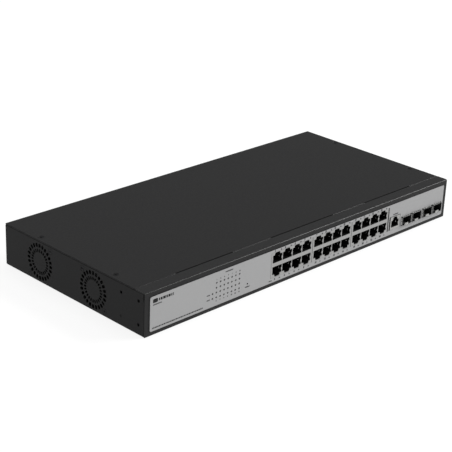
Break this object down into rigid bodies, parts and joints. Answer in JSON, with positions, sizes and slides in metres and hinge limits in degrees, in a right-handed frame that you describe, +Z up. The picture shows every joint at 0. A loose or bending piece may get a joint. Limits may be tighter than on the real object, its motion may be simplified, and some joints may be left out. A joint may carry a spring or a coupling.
{
  "type": "rackmount network switch",
  "caption": "One-unit rackmount network switch: dark steel case, silver front with copper ports, console jack, fibre cages, side fans and a rear mains inlet.",
  "frame": {"origin": "under the middle of the case, on the surface it rests on", "axes": "+X across the width towards the air outlet side, -Y out of the port side, +Z up"},
  "size_m": [0.44, 0.212, 0.0436],
  "materials": {
    "coated_steel": "fine matt powder coat",
    "silver_film": "satin silver-grey printed film",
    "tinned_steel": "bright tin plate",
    "black_zinc": "black zinc plating",
    "nickel": "nickel plating",
    "brass": "turned brass",
    "copper_winding": "enamelled copper wire",
    "black_nylon": "moulded glass-filled nylon",
    "black_pbt": "moulded PBT, slightly shiny",
    "white_nylon": "moulded natural nylon",
    "clear_acrylic": "clear acrylic",
    "green_laminate": "glass-epoxy laminate with green resist",
    "tan_laminate": "paper-phenolic laminate",
    "chip_epoxy": "moulded epoxy",
    "black_aluminium": "black anodised extrusion",
    "ferrite": "sintered ferrite with tape",
    "capacitor_sleeve": "shrink sleeve",
    "cable_jacket": "PVC insulation"
  },
  "bodies": {
    "case": {"chassis_base": "coated_steel", "top_cover": "coated_steel", "front_panel": "coated_steel", "front_overlay": "silver_film", "cover_screw_1": "black_zinc", "cover_screw_2": "black_zinc", "cover_screw_3": "black_zinc", "cover_screw_4": "black_zinc", "fan_screw_1": "black_zinc", "fan_screw_2": "black_zinc", "fan_screw_3": "black_zinc", "fan_screw_4": "black_zinc", "inlet_screw_1": "black_zinc", "inlet_screw_2": "black_zinc", "ground_screw": "nickel", "rj45_shield_1": "tinned_steel", "rj45_shield_2": "tinned_steel", "rj45_shield_3": "tinned_steel", "console_shield": "tinned_steel", "sfp_cage_1": "tinned_steel", "sfp_cage_2": "tinned_steel", "sfp_cage_3": "tinned_steel", "sfp_cage_4": "tinned_steel", "rj45_housing_1": "black_nylon", "rj45_housing_2": "black_nylon", "rj45_housing_3": "black_nylon", "console_housing": "black_nylon", "sfp_connector_1": "black_nylon", "sfp_connector_2": "black_nylon", "sfp_connector_3": "black_nylon", "sfp_connector_4": "black_nylon", "ac_inlet": "black_nylon", "rear_fan_frame": "black_nylon", "front_fan_frame": "black_nylon", "reset_switch": "black_nylon", "pcb_power_header": "white_nylon", "psu_output_header": "white_nylon", "led_light_pipe": "clear_acrylic", "main_pcb": "green_laminate", "psu_board": "tan_laminate", "pcb_standoff_1": "brass", "pcb_standoff_2": "brass", "pcb_standoff_3": "brass", "pcb_standoff_4": "brass", "switch_chip": "chip_epoxy", "phy_chip_1": "chip_epoxy", "phy_chip_2": "chip_epoxy", "phy_chip_3": "chip_epoxy", "switch_heatsink": "black_aluminium", "psu_heatsink": "black_aluminium", "psu_transformer": "ferrite", "psu_choke": "ferrite", "psu_bulk_capacitor": "capacitor_sleeve", "rear_fan_stator": "copper_winding", "front_fan_stator": "copper_winding", "dc_lead": "cable_jacket"},
    "rear_fan": {"rear_fan_rotor": "black_pbt"},
    "front_fan": {"front_fan_rotor": "black_pbt"},
    "reset_plunger": {"reset_button": "white_nylon"}
  },
  "joints": [
    {"name": "rear_fan_spin", "type": "hinge", "parent": "case", "child": "rear_fan", "pos_m": [-0.2172, 0.0489, 0.0211], "axis": [1, 0, 0], "continuous": true},
    {"name": "front_fan_spin", "type": "hinge", "parent": "case", "child": "front_fan", "pos_m": [-0.2172, -0.0306, 0.0211], "axis": [1, 0, 0], "continuous": true},
    {"name": "reset_press", "type": "slide", "parent": "case", "child": "reset_plunger", "axis": [0, 1, 0], "range_m": [0, 0.0003], "stiffness_N_per_m": 2000}
  ]
}
